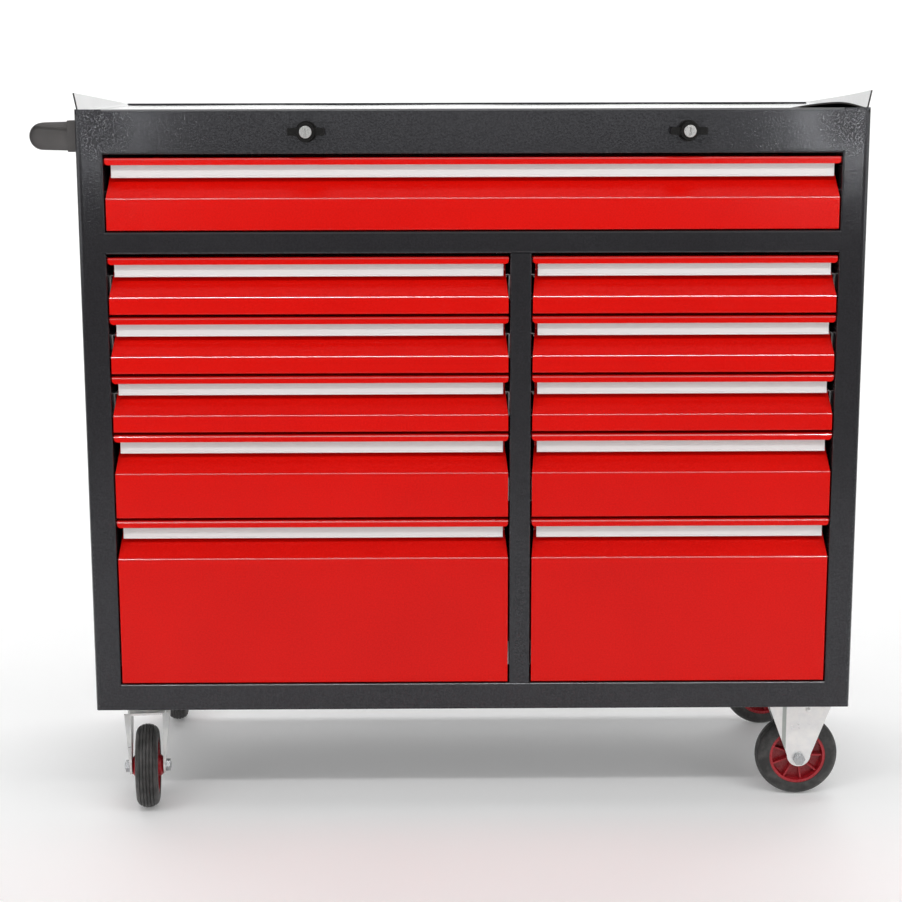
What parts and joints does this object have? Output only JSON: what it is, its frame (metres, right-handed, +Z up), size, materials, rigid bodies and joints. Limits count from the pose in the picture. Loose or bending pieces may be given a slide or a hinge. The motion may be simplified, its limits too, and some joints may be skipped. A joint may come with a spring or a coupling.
{
  "type": "drawer tool cabinet",
  "caption": "Wide roller tool cabinet: a full-width drawer over two banks of drawers with pull strips, wing-knob locks, a loose top mat, a side push handle, and swivel and fixed casters.",
  "frame": {"origin": "on the floor under the middle of the cabinet's box, handle and casters included", "axes": "+X to the viewer's right along the width, +Y from the drawer fronts to the back, +Z up"},
  "size_m": [1.1345, 0.5124, 1.0117],
  "materials": {
    "frame": "fine textured powder coat",
    "drawer": "smooth semi-gloss powder coat",
    "pull": "satin, drawn along its length",
    "zinc": "bright zinc plate",
    "mat": "matt, fine ribs",
    "black_plastic": "fine moulded grain",
    "key": "polished",
    "hub": "moulded",
    "tyre": "matt rubber"
  },
  "bodies": {
    "cabinet": {"left_side_panel": "frame", "right_side_panel": "frame", "back_panel": "frame", "base_panel": "frame", "top_tray": "frame", "middle_rail": "frame", "centre_divider": "frame", "rear_posts": "frame", "top_mat": "mat", "slide_channels": "zinc", "handle_brackets": "black_plastic", "handle_grip": "black_plastic", "handle_bolts": "zinc", "lock_sleeves": "black_plastic", "lock_nuts": "zinc", "swivel_plates": "zinc", "fixed_forks": "zinc", "fixed_axles": "zinc", "caster_bolts": "zinc"},
    "drawer_top": {"drawer_top": "drawer", "pull_top": "pull"},
    "drawer_left_1": {"drawer_left_1": "drawer", "pull_left_1": "pull"},
    "drawer_left_2": {"drawer_left_2": "drawer", "pull_left_2": "pull"},
    "drawer_left_3": {"drawer_left_3": "drawer", "pull_left_3": "pull"},
    "drawer_left_4": {"drawer_left_4": "drawer", "pull_left_4": "pull"},
    "drawer_left_5": {"drawer_left_5": "drawer", "pull_left_5": "pull"},
    "drawer_right_1": {"drawer_right_1": "drawer", "pull_right_1": "pull"},
    "drawer_right_2": {"drawer_right_2": "drawer", "pull_right_2": "pull"},
    "drawer_right_3": {"drawer_right_3": "drawer", "pull_right_3": "pull"},
    "drawer_right_4": {"drawer_right_4": "drawer", "pull_right_4": "pull"},
    "drawer_right_5": {"drawer_right_5": "drawer", "pull_right_5": "pull"},
    "lock_knob_left": {"lock_knob_left": "black_plastic", "lock_cam_left": "zinc"},
    "key_barrel_left": {"key_barrel_left": "key"},
    "lock_knob_right": {"lock_knob_right": "black_plastic", "lock_cam_right": "zinc"},
    "key_barrel_right": {"key_barrel_right": "key"},
    "swivel_front": {"swivel_fork_front": "zinc", "swivel_axle_front": "zinc"},
    "swivel_wheel_front": {"swivel_hub_front": "hub", "swivel_tyre_front": "tyre"},
    "fixed_wheel_front": {"fixed_hub_front": "hub", "fixed_tyre_front": "tyre"},
    "swivel_rear": {"swivel_fork_rear": "zinc", "swivel_axle_rear": "zinc"},
    "swivel_wheel_rear": {"swivel_hub_rear": "hub", "swivel_tyre_rear": "tyre"},
    "fixed_wheel_rear": {"fixed_hub_rear": "hub", "fixed_tyre_rear": "tyre"}
  },
  "joints": [
    {"name": "slide_top", "type": "slide", "parent": "cabinet", "child": "drawer_top", "axis": [0, -1, 0], "range_m": [0, 0.3]},
    {"name": "slide_left_1", "type": "slide", "parent": "cabinet", "child": "drawer_left_1", "axis": [0, -1, 0], "range_m": [0, 0.3]},
    {"name": "slide_left_2", "type": "slide", "parent": "cabinet", "child": "drawer_left_2", "axis": [0, -1, 0], "range_m": [0, 0.3]},
    {"name": "slide_left_3", "type": "slide", "parent": "cabinet", "child": "drawer_left_3", "axis": [0, -1, 0], "range_m": [0, 0.3]},
    {"name": "slide_left_4", "type": "slide", "parent": "cabinet", "child": "drawer_left_4", "axis": [0, -1, 0], "range_m": [0, 0.3]},
    {"name": "slide_left_5", "type": "slide", "parent": "cabinet", "child": "drawer_left_5", "axis": [0, -1, 0], "range_m": [0, 0.3]},
    {"name": "slide_right_1", "type": "slide", "parent": "cabinet", "child": "drawer_right_1", "axis": [0, -1, 0], "range_m": [0, 0.3]},
    {"name": "slide_right_2", "type": "slide", "parent": "cabinet", "child": "drawer_right_2", "axis": [0, -1, 0], "range_m": [0, 0.3]},
    {"name": "slide_right_3", "type": "slide", "parent": "cabinet", "child": "drawer_right_3", "axis": [0, -1, 0], "range_m": [0, 0.3]},
    {"name": "slide_right_4", "type": "slide", "parent": "cabinet", "child": "drawer_right_4", "axis": [0, -1, 0], "range_m": [0, 0.3]},
    {"name": "slide_right_5", "type": "slide", "parent": "cabinet", "child": "drawer_right_5", "axis": [0, -1, 0], "range_m": [0, 0.3]},
    {"name": "knob_turn_left", "type": "hinge", "parent": "cabinet", "child": "lock_knob_left", "pos_m": [-0.19225, -0.2295, 0.9647], "axis": [0, 1, 0], "range_deg": [0, 90]},
    {"name": "key_turn_left", "type": "hinge", "parent": "lock_knob_left", "child": "key_barrel_left", "pos_m": [-0.19225, -0.2495, 0.9647], "axis": [0, 1, 0], "range_deg": [0, 90]},
    {"name": "knob_turn_right", "type": "hinge", "parent": "cabinet", "child": "lock_knob_right", "pos_m": [0.32075, -0.2295, 0.9647], "axis": [0, 1, 0], "range_deg": [0, 90]},
    {"name": "key_turn_right", "type": "hinge", "parent": "lock_knob_right", "child": "key_barrel_right", "pos_m": [0.32075, -0.2495, 0.9647], "axis": [0, 1, 0], "range_deg": [0, 90]},
    {"name": "swivel_turn_front", "type": "hinge", "parent": "cabinet", "child": "swivel_front", "pos_m": [-0.44075, -0.1565, 0.1415], "axis": [0, 0, 1], "continuous": true},
    {"name": "swivel_roll_front", "type": "hinge", "parent": "swivel_front", "child": "swivel_wheel_front", "pos_m": [-0.43726, -0.19635, 0.06], "axis": [0.9962, 0.0872, 0], "continuous": true},
    {"name": "fixed_roll_front", "type": "hinge", "parent": "cabinet", "child": "fixed_wheel_front", "pos_m": [0.50625, -0.1565, 0.06], "axis": [0, 1, 0], "continuous": true},
    {"name": "swivel_turn_rear", "type": "hinge", "parent": "cabinet", "child": "swivel_rear", "pos_m": [-0.44075, 0.1565, 0.1415], "axis": [0, 0, 1], "continuous": true},
    {"name": "swivel_roll_rear", "type": "hinge", "parent": "swivel_rear", "child": "swivel_wheel_rear", "pos_m": [-0.44424, 0.19635, 0.06], "axis": [0.9962, 0.0872, 0], "continuous": true},
    {"name": "fixed_roll_rear", "type": "hinge", "parent": "cabinet", "child": "fixed_wheel_rear", "pos_m": [0.50625, 0.1565, 0.06], "axis": [0, 1, 0], "continuous": true}
  ]
}
